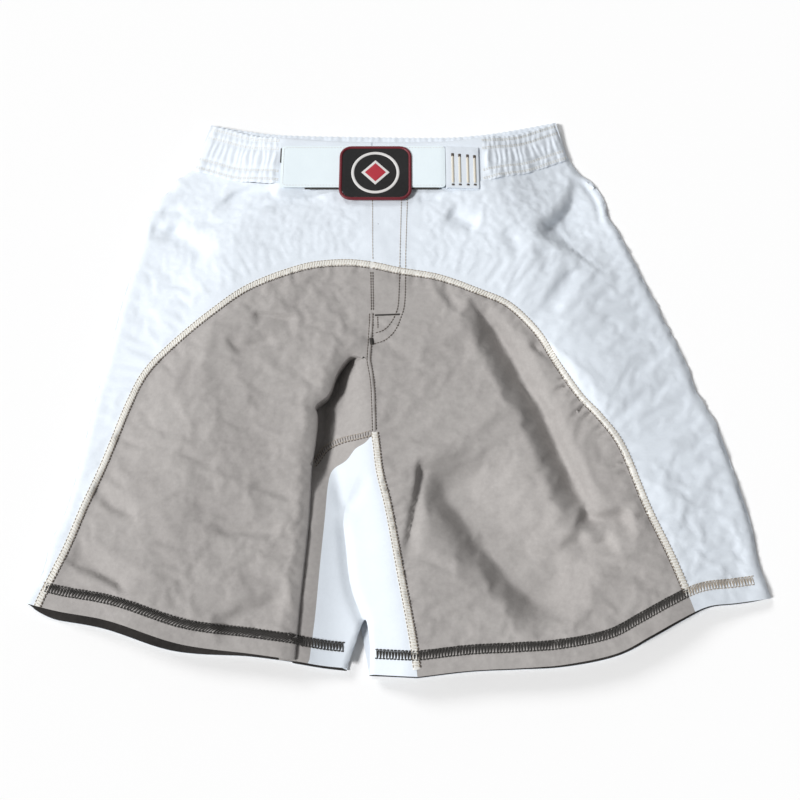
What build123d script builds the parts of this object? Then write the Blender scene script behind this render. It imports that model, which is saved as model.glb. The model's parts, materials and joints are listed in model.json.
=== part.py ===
from build123d import *

import os

# Fight shorts with a hook-and-loop waist, lying face up on a flat surface.
#
# The shorts are two flat tubes of cloth that join above the crotch. A flat back layer lies on the
# surface at Z = 0, and a front layer stands over it on a plateau at front_height, so that the waist
# and both legs are open. +X points to the wearer's left, +Y to the waist and +Z up through the front.
# The origin is the middle of the bounding box on the surface. "right" and "left" are the wearer's.
#
# Every layer is a slice between two nested bodies of the same loft, cut to its plan outline.
# Millimetres.

# ---- driving dimensions -------------------------------------------------------------------------
cloth = 1.0  # one layer of shell cloth
band_thick = 2.6  # waistband: two plies round the elastic
band_ply = 0.8
front_height = 30.0  # top of the front layer over the surface
side_run = 78.0  # plan width over which a side rises from the surface to the plateau
slack = 0.4  # between a moving piece and the cloth beside it
far = 400.0  # beyond every edge
top_of_cut = front_height + 20.0  # height of the cutting prisms
on_its_base = (Align.CENTER, Align.CENTER, Align.MIN)

thread = 0.5  # height of a seam's thread over the cloth
row = 1.2  # width of one row of stitching
seam_width = 8.0  # twin-needle cover seam on the panel joins
centre_seam_width = 3.0
hem_seam_width = 6.5
hem_depth = 17.0  # from the hem to the middle of its cover seam
back_hem_drop = 7.0  # the back hem reaches a little further than the front hem
band_rows = [5, 17, 34, 45]  # stitching rows over the seam under the waistband

tape_thick = 1.0  # hook tape or loop tape
tape_gap = 0.2
tab_ply = 1.2
tab_left, tab_right, tab_base_right = -117.0, 47.0, 80.0
tab_low, tab_high = 190.0, 238.0
tab_corner = 4.0
tape_inset = 4.0  # from the tab's edges to its tapes
hook_tape_right, loop_tape_right = -62.0, -35.0
tab_under = front_height + 2 * tape_thick + tape_gap
tab_top = tab_under + tab_ply
bartack_x = [54, 61, 69, 76]
bartack_width, bartack_height, bartack_drop = 2.0, 38.0, 3.0

badge_centre = (-23.0, 206.0)
badge_width, badge_height, badge_corner = 72.0, 62.0, 12.0
badge_ply = 1.0
badge_edge, badge_edge_height = 3.0, 1.8
motif_ring, motif_diamond = 24.0, 14.0  # radii of the motif on it

# The fly: the top front edge folds back from the underlap that lies beneath it.
fly_tape_thick = 0.7
fly_tape_left, fly_tape_right, fly_tape_low, fly_tape_high = -22.0, -11.0, 140.0, 185.0
fly_bar_left, fly_bar_right, fly_bar_width = -22.0, 1.0, 3.0
underlap_left, underlap_right = -45.0, 28.0
underlap_top = front_height - band_thick  # surface that the fly edge lies on
underlap = [(underlap_left, 300), (underlap_left, 80), (-28, 45), (4, 60), (underlap_right, 300)]

# ---- outlines, waist to hem ---------------------------------------------------------------------
# Side crease of each half: (y, x) at each loft station.
waist_y, crotch_y = 290.0, -57.0
right_side = [(waist_y, -189), (240, -203), (204, -228), (168, -248), (120, -258), (30, -270), (-20, -277)]
right_side += [(crotch_y, -283)]
left_side = [(waist_y, 158), (240, 169), (204, 189), (165, 211), (120, 237), (50, 261), (-20, 281)]
left_side += [(crotch_y, 291)]

# Leg stations: (y, outer x, inner x, plan width of the inner slope).
right_leg = [(crotch_y, -283, -22.5, 1), (-90, -289, -40, 20), (-133, -297, -52, 36)]
right_leg += [(-205, -316, -47, 42), (-290, -342, -46, 42)]
left_leg = [(crotch_y, 291, -21.5, 1), (-90, 299, -35, 20), (-133, 307, -46, 36), (-205, 320, -34, 38)]
left_leg += [(-290, 333, -24, 38)]

# Front hem of each leg.
right_hem = [(-345, -208), (-320, -214), (-247, -229), (-186, -246), (-126, -254), (-83, -259)]
right_hem += [(-36, -264)]
left_hem = [(-28, -266), (14, -268), (86, -265), (136, -263), (184, -254), (224, -236)]
left_hem += [(265, -217), (335, -209)]

# Waistband: top edges of front and back, and the seam under it.
front_top = [(-215, 276), (-193, 272), (-117, 252), (-50, 247), (42, 247), (105, 257)]
front_top += [(162, 275), (185, 281)]
back_top = [(-215, 276), (-193, 272), (-117, 257), (-50, 253), (42, 253), (105, 261)]
back_top += [(162, 275), (185, 281)]
band_seam = [(-235, 222), (-208, 218), (-161, 205), (-117, 197), (-59, 192), (52, 192), (124, 213)]
band_seam += [(200, 240)]

# Horseshoe seam between the dark front panels and the white yoke.
arch = [(-316, -290), (-309, -206), (-283, -137), (-248, -31), (-212, 26), (-143, 90), (-57, 111)]
arch += [(1, 104), (78, 82), (132, 39), (179, -31), (221, -130), (247, -206), (262, -290)]

# Front centre line, fly and inner-thigh seams.
fly_foot = (-25.0, 57.0)  # where the fly opening ends
centre_top = (-28.0, 300.0)
crotch = (-22.0, crotch_y)
fold_top = (18.7, 300.0)  # the fly flap folds back along the line from fly_foot to here
flap_low = 80.0  # the flap is free from here up
j_stitch = [(10, 190), (7, 80), (4, 50), (-6, 33), (-22, 26)]
j_spacing = 5.0  # between the two rows of the J stitch
right_gusset = [crotch, (-66, -78), (-79, -110), (-83, -180), (-88, -290)]
left_gusset = [crotch, (-17, -98), (-9, -131), (1, -185), (16, -290)]
leg_gap = [crotch, (-37.5, -90), (-49, -133), (-40.5, -205), (-35, -290)]

# The elastic runs round the back and stops on each side of the front.
elastic_right, elastic_left = -119.0, 84.0
elastic_margin = 8.0  # from the elastic to the waistband's edges


# ---- bodies of the cloth ------------------------------------------------------------------------
def crown(start, top, run):
    """Side of a section, from its foot to the plateau, level at the top."""
    (x, z), height = start, top - start[1]
    return Bezier((x, z), (x + 0.10 * run, z + 0.62 * height), (x + 0.45 * run, top), (x + run, top))


def section(y, left, right, bottom, top, left_run, right_run):
    """Cross-section of a body at y, a flat foot with two crowned sides."""
    with BuildSketch(Plane.XZ.offset(-y)) as face:
        with BuildLine():
            Line((left, bottom), (right, bottom))
            crown((left, bottom), top, left_run)
            Line((left + left_run, top), (right - right_run, top))
            crown((right, bottom), top, -right_run)
        make_face()
    return face.sketch


def nested(stations, inset):
    """Loft of (y, left, right, left run, right run) stations, drawn in by inset all round."""
    edge = 3.0 * inset  # a crease is a sharp wedge, so it is drawn in further than the faces
    sections = [
        section(y, left + edge, right - edge, max(inset, 0.0), front_height - inset, run_l, run_r)
        for y, left, right, run_l, run_r in stations
    ]
    with BuildPart() as lofted:
        for face in sections:
            add(face)
        loft()
    return lofted.part


def body(inset):
    """Pelvis and both legs, drawn in by inset."""
    pelvis = [(y, r, l, side_run, side_run) for (y, r), (_, l) in zip(right_side, left_side, strict=True)]
    right = [(y, outer, inner, side_run, run) for y, outer, inner, run in right_leg]
    left = [(y, inner, outer, run, side_run) for y, outer, inner, run in left_leg]
    parts = [nested(stations, inset) for stations in (pelvis, right, left)]
    with BuildPart() as whole:
        for part in parts:
            add(part)
    return whole.part


def shell(outside, inside, floor):
    """What lies between two nested bodies, above floor."""
    with BuildPart() as between:
        add(outside)
        add(inside, mode=Mode.SUBTRACT)
        with Locations((0, 0, floor)):
            Box(2 * far, 2 * far, top_of_cut, align=on_its_base, mode=Mode.INTERSECT)
    return between.part


# ---- plan outlines ------------------------------------------------------------------------------
def below(points):
    """Plan region on the low-Y side of a left-to-right curve."""
    first, last = points[0], points[-1]
    with BuildSketch() as region:
        with BuildLine():
            Spline(*points)
            Polyline(last, (far, last[1]), (far, -far), (-far, -far), (-far, first[1]), first)
        make_face()
    return region.sketch


def half(side):
    """Plan region on one side of the centre line and of the gap between the legs."""
    with BuildSketch() as region:
        with BuildLine():
            Polyline(centre_top, fly_foot, crotch)
            Spline(*leg_gap)
            Polyline(leg_gap[-1], (side * far, leg_gap[-1][1]), (side * far, centre_top[1]), centre_top)
        make_face()
    return region.sketch


def between_curves(side_a, side_b):
    """Plan region between two curves that start at one point."""
    with BuildSketch() as region:
        with BuildLine():
            Spline(*side_a)
            Spline(*side_b)
            Line(side_a[-1], side_b[-1])
        make_face()
    return region.sketch


def ribbon(points, width):
    """Plan region along a curve, width wide."""
    with BuildLine() as route:
        Spline(*points)
    with BuildSketch() as region:
        trace(route.line, line_width=width)
    return region.sketch


def rectangle(left, right, low, high):
    """Plan region of a rectangle between its four edges."""
    with BuildSketch() as region:
        with Locations(((left + right) / 2, (low + high) / 2)):
            Rectangle(right - left, high - low)
    return region.sketch


def shifted(points, up):
    """The curve moved along Y."""
    return [(x, y + up) for x, y in points]


def keep_inside(*regions):
    """Cuts the part being built to these plan regions, one after another."""
    for region in regions:
        extrude(region, amount=top_of_cut, mode=Mode.INTERSECT)


def cut_away(*regions):
    """Takes these plan regions out of the part being built."""
    for region in regions:
        extrude(region, amount=top_of_cut, mode=Mode.SUBTRACT)


def keep_heights(low, high):
    """Cuts the part being built to what lies between two heights."""
    with Locations((0, 0, low)):
        Box(2 * far, 2 * far, high - low, align=on_its_base, mode=Mode.INTERSECT)


os.makedirs("parts", exist_ok=True)

# ---- layers -------------------------------------------------------------------------------------
outer = body(0.0)
front_layer = shell(outer, body(cloth), cloth)
band_layer = shell(outer, body(band_thick), band_thick)
thread_layer = shell(body(-thread), outer, cloth)
elastic_outer, elastic_inner = body(band_ply), body(band_thick - band_ply)

# ---- plan regions -------------------------------------------------------------------------------
inside_arch = below(arch)
under_band = below(band_seam)
under_front_top = below(front_top)
under_back_top = below(back_top)
halves = {"right": half(-1), "left": half(1)}
hems = {"right": right_hem, "left": left_hem}
inseams = {"right": right_gusset, "left": left_gusset}
flat_middle = rectangle(elastic_right, elastic_left, 0, far)  # waistband without elastic, front only
gusset_plans = {side: between_curves(seam, leg_gap) for side, seam in inseams.items()}

with BuildSketch() as flap_hole:
    with BuildLine():
        Polyline(fly_foot, fold_top, centre_top, close=True)
    make_face()
    add(rectangle(-far, far, flap_low, far), mode=Mode.INTERSECT)
with BuildSketch() as flap_plan:
    add(flap_hole.sketch)
    offset(amount=-slack, kind=Kind.INTERSECTION)

# ---- shell cloth --------------------------------------------------------------------------------
for side, half_plan in halves.items():
    hem_cut = below(hems[side])

    with BuildPart() as front_panel:
        add(front_layer)
        keep_inside(inside_arch, half_plan)
        cut_away(gusset_plans["right"], gusset_plans["left"], hem_cut, flap_hole.sketch)
    front_panel.part.label = f"front_panel_{side}"
    export_step(front_panel.part, f"parts/front_panel_{side}.step")

    with BuildPart() as side_panel:
        add(front_layer)
        keep_inside(under_band, half_plan)
        cut_away(inside_arch, hem_cut, flap_hole.sketch)
    side_panel.part.label = f"side_panel_{side}"
    export_step(side_panel.part, f"parts/side_panel_{side}.step")

    with BuildPart() as gusset:
        add(front_layer)
        keep_inside(gusset_plans[side])
        cut_away(hem_cut)
    gusset.part.label = f"gusset_{side}"
    export_step(gusset.part, f"parts/gusset_{side}.step")

    with BuildPart() as back_panel:
        add(outer)
        keep_heights(0, cloth)
        keep_inside(under_band, half_plan)
        cut_away(below(shifted(hems[side], -back_hem_drop)))
    back_panel.part.label = f"back_panel_{side}"
    export_step(back_panel.part, f"parts/back_panel_{side}.step")

# ---- waistband ----------------------------------------------------------------------------------
with BuildPart() as waist_elastic:
    add(elastic_outer)
    add(elastic_inner, mode=Mode.SUBTRACT)
    keep_inside(below(shifted(front_top, -elastic_margin)))
    cut_away(below(shifted(band_seam, elastic_margin)))
    extrude(Plane.XY.offset(band_thick) * flat_middle, amount=top_of_cut, mode=Mode.SUBTRACT)
waist_elastic.part.label = "waist_elastic"
export_step(waist_elastic.part, "parts/waist_elastic.step")

with BuildPart() as waistband_back:
    add(outer)
    keep_heights(0, band_thick)
    keep_inside(under_back_top)
    cut_away(under_band)
    add(waist_elastic.part, mode=Mode.SUBTRACT)
waistband_back.part.label = "waistband_back"
export_step(waistband_back.part, "parts/waistband_back.step")

for side, half_plan in halves.items():
    with BuildPart() as waistband_front:
        add(band_layer)
        keep_inside(under_front_top, half_plan)
        cut_away(under_band, flap_hole.sketch)
        add(waist_elastic.part, mode=Mode.SUBTRACT)
    waistband_front.part.label = f"waistband_front_{side}"
    export_step(waistband_front.part, f"parts/waistband_front_{side}.step")

with BuildPart() as waistband_underlap:
    with BuildSketch(Plane.XY.offset(underlap_top - band_thick)):
        add(rectangle(underlap_left, underlap_right, 0, far))
        add(under_front_top, mode=Mode.INTERSECT)
        add(under_band, mode=Mode.SUBTRACT)
    extrude(amount=band_thick)
waistband_underlap.part.label = "waistband_underlap"
export_step(waistband_underlap.part, "parts/waistband_underlap.step")

# ---- fly ----------------------------------------------------------------------------------------
with BuildPart() as waistband_fly_end:
    add(band_layer)
    keep_inside(under_front_top, flap_plan.sketch)
    cut_away(under_band)
    keep_heights(underlap_top + slack, front_height)
waistband_fly_end.part.label = "waistband_fly_end"
export_step(waistband_fly_end.part, "parts/waistband_fly_end.step")

with BuildPart() as fly_flap_upper:
    add(front_layer)
    keep_inside(under_band, flap_plan.sketch)
    cut_away(inside_arch)
fly_flap_upper.part.label = "fly_flap_upper"
export_step(fly_flap_upper.part, "parts/fly_flap_upper.step")

with BuildPart() as fly_flap_lower:
    add(front_layer)
    keep_inside(inside_arch, flap_plan.sketch)
fly_flap_lower.part.label = "fly_flap_lower"
export_step(fly_flap_lower.part, "parts/fly_flap_lower.step")

fly_tapes = {"hook": front_height - cloth - fly_tape_thick, "loop": underlap_top}
for kind, height in fly_tapes.items():
    with BuildPart() as fly_tape:
        with BuildSketch(Plane.XY.offset(height)):
            add(rectangle(fly_tape_left, fly_tape_right, fly_tape_low, fly_tape_high))
        extrude(amount=fly_tape_thick)
    fly_tape.part.label = f"fly_{kind}_tape"
    export_step(fly_tape.part, f"parts/fly_{kind}_tape.step")

with BuildPart() as fly_underlap:
    with BuildSketch(Plane.XY.offset(underlap_top - cloth)):
        with BuildLine():
            Polyline(*underlap, close=True)
        make_face()
        add(under_band, mode=Mode.INTERSECT)
    extrude(amount=cloth)
    with BuildSketch(Plane.XY.offset(underlap_top)):
        add(rectangle(underlap_left, centre_top[0] - slack, underlap[1][1], far))
        add(under_band, mode=Mode.INTERSECT)
    extrude(amount=band_thick - cloth)
fly_underlap.part.label = "fly_underlap"
export_step(fly_underlap.part, "parts/fly_underlap.step")

# ---- closure tab --------------------------------------------------------------------------------
with BuildPart() as closure_tab:
    with BuildSketch(Plane.XY.offset(tab_under)):
        add(rectangle(tab_left, tab_right - slack, tab_low, tab_high))
        fillet(vertices().group_by(Axis.X)[0], tab_corner)
    extrude(amount=tab_ply)
closure_tab.part.label = "closure_tab"
export_step(closure_tab.part, "parts/closure_tab.step")

with BuildPart() as tab_base:
    with BuildSketch(Plane.XY.offset(front_height)):
        add(rectangle(tab_right, tab_base_right, tab_low, tab_high))
    extrude(amount=tab_top - front_height)
tab_base.part.label = "tab_base"
export_step(tab_base.part, "parts/tab_base.step")

closure_tapes = {
    "hook": (tab_under - tape_thick, hook_tape_right),
    "loop": (front_height, loop_tape_right),
}
for kind, (height, right) in closure_tapes.items():
    with BuildPart() as closure_tape:
        with BuildSketch(Plane.XY.offset(height)):
            add(rectangle(tab_left + tape_inset, right, tab_low + tape_inset, tab_high - tape_inset))
        extrude(amount=tape_thick)
    closure_tape.part.label = f"closure_{kind}_tape"
    export_step(closure_tape.part, f"parts/closure_{kind}_tape.step")

with BuildPart() as tab_bartacks:
    with BuildSketch(Plane.XY.offset(tab_top)):
        for x in bartack_x:
            with Locations((x, (tab_low + tab_high) / 2 - bartack_drop)):
                Rectangle(bartack_width, bartack_height)
    extrude(amount=thread)
tab_bartacks.part.label = "tab_bartacks"
export_step(tab_bartacks.part, "parts/tab_bartacks.step")

# ---- badge on the tab ---------------------------------------------------------------------------
badge_plane = Plane((*badge_centre, tab_top))

with BuildPart() as badge_backing:
    with BuildSketch(badge_plane):
        RectangleRounded(badge_width, badge_height, badge_corner)
        offset(amount=-badge_edge, mode=Mode.REPLACE)
    extrude(amount=badge_ply)
badge_backing.part.label = "badge_backing"
export_step(badge_backing.part, "parts/badge_backing.step")

with BuildPart() as badge_border:
    with BuildSketch(badge_plane):
        RectangleRounded(badge_width, badge_height, badge_corner)
        offset(amount=-badge_edge, mode=Mode.SUBTRACT)
    extrude(amount=badge_edge_height)
badge_border.part.label = "badge_border"
export_step(badge_border.part, "parts/badge_border.step")

with BuildPart() as badge_motif:
    with BuildSketch(badge_plane.offset(badge_ply)):
        Circle(motif_ring)
        Circle(motif_ring - badge_edge, mode=Mode.SUBTRACT)
        RegularPolygon(motif_diamond, 4)
    extrude(amount=thread)
badge_motif.part.label = "badge_motif"
export_step(badge_motif.part, "parts/badge_motif.step")

# ---- stitching ----------------------------------------------------------------------------------
arch_plan = ribbon(arch, seam_width)
hem_plans = {side: ribbon(shifted(hem, hem_depth), hem_seam_width) for side, hem in hems.items()}
inseam_plans = {side: ribbon(seam, seam_width) for side, seam in inseams.items()}
gap_plan = ribbon(leg_gap, seam_width)
centre_plan = rectangle(
    crotch[0] - centre_seam_width, crotch[0], crotch_y + seam_width, fly_foot[1] - fly_bar_width
)
bar_plan = rectangle(
    fly_bar_left, fly_bar_right, fly_foot[1] - fly_bar_width / 2, fly_foot[1] + fly_bar_width / 2
)

for side, half_plan in halves.items():
    with BuildPart() as hem_stitching:
        add(thread_layer)
        keep_inside(half_plan, hem_plans[side])
    hem_stitching.part.label = f"hem_stitching_{side}"
    export_step(hem_stitching.part, f"parts/hem_stitching_{side}.step")

    with BuildPart() as arch_seam:
        add(thread_layer)
        keep_inside(half_plan, arch_plan)
        cut_away(flap_hole.sketch, hem_plans[side], below(hems[side]))
    arch_seam.part.label = f"arch_seam_{side}"
    export_step(arch_seam.part, f"parts/arch_seam_{side}.step")

    with BuildPart() as inseam_seam:
        add(thread_layer)
        keep_inside(half_plan, inseam_plans[side])
        cut_away(gap_plan, hem_plans[side], below(hems[side]))
    inseam_seam.part.label = f"inseam_seam_{side}"
    export_step(inseam_seam.part, f"parts/inseam_seam_{side}.step")

    for count, up in enumerate(band_rows, start=1):
        with BuildPart() as band_row:
            add(thread_layer)
            keep_inside(half_plan, ribbon(shifted(band_seam, up), row))
            cut_away(flat_middle)
        band_row.part.label = f"waistband_row_{side}_{count}"
        export_step(band_row.part, f"parts/waistband_row_{side}_{count}.step")

with BuildPart() as arch_seam_flap:
    add(thread_layer)
    keep_inside(arch_plan, flap_plan.sketch)
arch_seam_flap.part.label = "arch_seam_flap"
export_step(arch_seam_flap.part, "parts/arch_seam_flap.step")

with BuildPart() as centre_seam:
    add(thread_layer)
    keep_inside(centre_plan)
centre_seam.part.label = "centre_seam"
export_step(centre_seam.part, "parts/centre_seam.step")

with BuildPart() as fly_bar:
    add(thread_layer)
    keep_inside(bar_plan)
fly_bar.part.label = "fly_bar"
export_step(fly_bar.part, "parts/fly_bar.step")

with BuildPart() as fly_stitching:
    add(thread_layer)
    keep_inside(ribbon(j_stitch, j_spacing + row))
    cut_away(ribbon(j_stitch, j_spacing - row), arch_plan, centre_plan, bar_plan)
fly_stitching.part.label = "fly_stitching"
export_step(fly_stitching.part, "parts/fly_stitching.step")
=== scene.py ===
"""Fight shorts lying face up: cloth, seams, waistband, closure tab and badge round the CAD frame."""

import json
import math

import bpy
import numpy as np
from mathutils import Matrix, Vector, noise
from mathutils.bvhtree import BVHTree
from mathutils.geometry import delaunay_2d_cdt

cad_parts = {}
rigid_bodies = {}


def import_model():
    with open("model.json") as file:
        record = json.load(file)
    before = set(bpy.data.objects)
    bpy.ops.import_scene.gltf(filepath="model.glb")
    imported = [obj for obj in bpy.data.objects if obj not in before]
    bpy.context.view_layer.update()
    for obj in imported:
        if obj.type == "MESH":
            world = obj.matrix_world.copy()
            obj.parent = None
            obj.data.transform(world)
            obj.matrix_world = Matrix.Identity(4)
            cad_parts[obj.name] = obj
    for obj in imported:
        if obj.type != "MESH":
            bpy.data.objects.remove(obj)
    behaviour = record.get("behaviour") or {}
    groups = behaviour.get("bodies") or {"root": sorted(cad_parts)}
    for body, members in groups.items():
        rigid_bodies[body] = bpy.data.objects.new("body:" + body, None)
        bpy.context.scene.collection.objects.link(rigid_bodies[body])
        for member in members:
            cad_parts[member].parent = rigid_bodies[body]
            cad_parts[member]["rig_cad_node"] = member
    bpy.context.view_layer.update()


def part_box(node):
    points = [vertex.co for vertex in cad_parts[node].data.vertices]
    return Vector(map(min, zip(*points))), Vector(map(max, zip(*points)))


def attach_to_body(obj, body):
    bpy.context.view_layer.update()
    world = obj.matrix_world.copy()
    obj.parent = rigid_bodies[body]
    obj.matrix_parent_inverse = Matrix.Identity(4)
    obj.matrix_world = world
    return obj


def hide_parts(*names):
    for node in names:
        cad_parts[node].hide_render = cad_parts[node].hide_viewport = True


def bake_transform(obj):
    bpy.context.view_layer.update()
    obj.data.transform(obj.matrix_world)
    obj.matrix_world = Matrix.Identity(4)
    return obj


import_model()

MM = 0.001
GRAIN = 3.0  # mm between the points of the front cloth
BACK_GRAIN = 7.0
THICK = 0.45  # mm, one layer of cloth
SEED = 7

# ---- camera ----
VIEW_TILT = math.radians(20.0)  # from straight down
VIEW_RANGE = 0.8835
VIEW_TARGET = Vector((0.0014, -0.029, 0.020))
VIEW_LENS = 43.1
SEEN_HEIGHT = 20.0  # mm; the outlines below are places seen on a plane this high

# ---- outlines as seen from the front, in millimetres, waist to hem ----
LEFT_EDGE = [(-208, 219), (-216, 211), (-223, 207), (-227, 196), (-236, 187), (-243, 173), (-250, 160)]
LEFT_EDGE += [(-251, 145), (-254, 120), (-262, 85), (-267, 55), (-273, 6), (-279, -24), (-288, -94)]
LEFT_EDGE += [(-295, -135), (-304, -160), (-309, -190), (-320, -214)]
RIGHT_EDGE = [(171, 235), (177, 222), (184, 212), (193, 205), (202, 190), (206, 178), (208, 163)]
RIGHT_EDGE += [(216, 148), (224, 127), (238, 90), (252, 52), (268, 10), (277, -26), (291, -56)]
RIGHT_EDGE += [(306, -122), (311, -150), (313, -180), (320, -210)]
HEM_RIGHT_LEG = [(-320, -214), (-291, -221), (-247, -229), (-186, -248), (-126, -256), (-88, -261)]
HEM_GUSSET = [(-100, -261), (-88, -262), (-63, -266), (-43, -268)]
HEM_LEFT_LEG = [(16, -275), (60, -270), (100, -268), (140, -265), (184, -256), (215, -241), (240, -228)]
HEM_LEFT_LEG += [(265, -217), (290, -214), (320, -210)]
HEM_LEFT_GUSSET = [(-24, -273), (-5, -274), (16, -275)]
BAND_SEAM = [(-208, 219), (-161, 205), (-117, 197), (-59, 193), (0, 191), (52, 193), (90, 202)]
BAND_SEAM += [(130, 217), (171, 235)]
ARCH = [(-318, -250), (-308, -213), (-300, -192), (-289, -163), (-279, -130), (-265, -89), (-248, -31)]
ARCH += [(-235, 0), (-212, 28), (-179, 60), (-143, 88), (-95, 107), (-57, 112), (-28, 110), (1, 104)]
ARCH += [(40, 97), (78, 82), (106, 68), (132, 39), (150, 5), (169, -26), (185, -45), (203, -74)]
ARCH += [(221, -130), (237, -171), (250, -210), (262, -250)]
FLY_TOP, FLY_FOOT = (-28, 193), (-26, 57)
FORK = (-28, 11)  # where the crotch fold leaves the centre seam
CROTCH = (-22, -60)
FOLD_EDGE = [FORK, (-36, 16), (-45, 16), (-52, 8), (-58, -3), (-62, -16), (-66, -24), (-73, -30)]
FOLD_EDGE += [(-77, -36), (-75, -44), (-75, -58), (-77, -78), (-79, -95), (-80, -140), (-85, -210)]
FOLD_EDGE += [(-88, -261)]
GUSSET_SEAM = [CROTCH, (-20, -75), (-17, -98), (-9, -131), (1, -185), (12, -244), (16, -275)]
PATCH_SEAM = [CROTCH, (-36, -64), (-52, -68), (-66, -76), (-76, -90), (-90, -102)]
FACING_EDGE = [CROTCH, (-30, -70), (-39, -76), (-47, -87), (-59, -96), (-63, -110), (-65, -140)]
FACING_EDGE += [(-68, -180), (-71, -225), (-75, -264)]
LEG_GAP = [(-43, -268), (-37, -250), (-31, -232), (-28, -228), (-26, -234), (-24, -250), (-24, -273)]
LEG_LINE = [CROTCH, (-36, -98), (-48, -136), (-46, -165), (-41, -200), (-30, -229)]
UNDER_FOLD = 13.0  # mm that the inner leg runs on beneath the fold edge


def curve(points, step=GRAIN):
    """Points along a smooth curve through the given ones, about step apart."""
    p = np.array(points, float)
    if len(p) == 2:
        count = max(2, int(np.linalg.norm(p[1] - p[0]) / step) + 1)
        return p[0] + np.linspace(0, 1, count)[:, None] * (p[1] - p[0])
    padded = np.vstack([2 * p[0] - p[1], p, 2 * p[-1] - p[-2]])
    out = [p[:1]]
    for a, b, c, d in zip(padded[:-3], padded[1:-2], padded[2:-1], padded[3:]):
        count = max(1, round(np.linalg.norm(c - b) / step))
        t = (np.arange(1, count + 1) / count)[:, None]
        out.append(
            0.5 * (2 * b + (c - a) * t + (2 * a - 5 * b + 4 * c - d) * t**2 + (3 * b - a - 3 * c + d) * t**3)
        )
    return np.vstack(out)


def nearest(points, line):
    """Distance to a polyline, side (+ on its left) and share of the way along it."""
    a, b = line[:-1], line[1:]
    along = b - a
    length = np.linalg.norm(along, axis=1)
    start = np.concatenate([[0], np.cumsum(length)[:-1]])
    rel = points[:, None, :] - a[None]
    t = np.clip((rel * along).sum(2) / (length**2), 0, 1)
    gap = rel - t[..., None] * along
    dist = np.linalg.norm(gap, axis=2)
    best = dist.argmin(1)
    rows = np.arange(len(points))
    side = along[best, 0] * gap[rows, best, 1] - along[best, 1] * gap[rows, best, 0]
    share = (start[best] + t[rows, best] * length[best]) / length.sum()
    return dist[rows, best], np.where(side >= 0, 1.0, -1.0), share


def inside(points, polygon):
    """Which points lie in the polygon."""
    x, y = points[:, 0], points[:, 1]
    hit = np.zeros(len(points), bool)
    for (x0, y0), (x1, y1) in zip(polygon, np.roll(polygon, -1, axis=0)):
        if y0 != y1:
            crosses = (y0 > y) != (y1 > y)
            hit ^= crosses & (x < (x1 - x0) * (y - y0) / (y1 - y0) + x0)
    return hit


def smooth(x, low=0.0, high=1.0):
    """0 below low, 1 above high, and an S between them."""
    t = np.clip((x - low) / (high - low), 0, 1)
    return t * t * (3 - 2 * t)


def ripple(points, size, seed):
    """Smooth noise from about -1 to 1 at each point, features size mm across."""
    offset = Vector((seed * 17.3, seed * 5.1, seed * 9.7))
    values = [
        noise.fractal(Vector((x / size, y / size, 0)) + offset, 1.0, 2.0, 2) for x, y in points[:, :2]
    ]
    return np.array(values)


left_edge, right_edge = curve(LEFT_EDGE), curve(RIGHT_EDGE)
left_side = np.vstack([curve([(-193, 272), (-200, 246), LEFT_EDGE[0]]), left_edge[1:]])
right_side = np.vstack([curve([(162, 275), (167, 252), RIGHT_EDGE[0]]), right_edge[1:]])
hem_right_leg, hem_left_leg = curve(HEM_RIGHT_LEG), curve(HEM_LEFT_LEG)
band_seam, arch = curve(BAND_SEAM), curve(ARCH)
fly_line = curve([FLY_TOP, (-27, 112), FLY_FOOT, (-27, 30), FORK])
crotch_line = curve([FORK, (-24, -15), CROTCH])
fold_edge, gusset_seam = curve(FOLD_EDGE), curve(GUSSET_SEAM)
patch_seam, leg_gap, leg_line = curve(PATCH_SEAM), curve(LEG_GAP), curve(LEG_LINE)
centre_line = np.vstack([fly_line, crotch_line[1:]])
arch_area = np.vstack([arch, [(400, -250), (400, -500), (-400, -500), (-400, -250)]])

# ---- height of the front cloth ----
RIM, RIM_RUN = 5.0, 7.0  # the fold at a side crease
RISE_RUN = 100.0  # from there up to the full height
INNER_LOW = 9.0  # cloth of the inner legs, by the gap
CAVITY, CAVITY_WIDTH = 16.0, 10.0  # the hollow under the crotch fold
FOLD_LIFT = 5.0  # the cloth stands up along the crotch fold
FOLD_ROLL = 0.12  # share of its height that it has come down at the fold's edge
ROLL_START, ROLL_RADIUS, ROLL_FOOT = 2, 1.8, 4.0  # the roll from there on, down and under the cloth
ROLL_WALL = math.radians(98)
ROLL_UNDER = 4.0  # each of three steps back beneath the cloth

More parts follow.
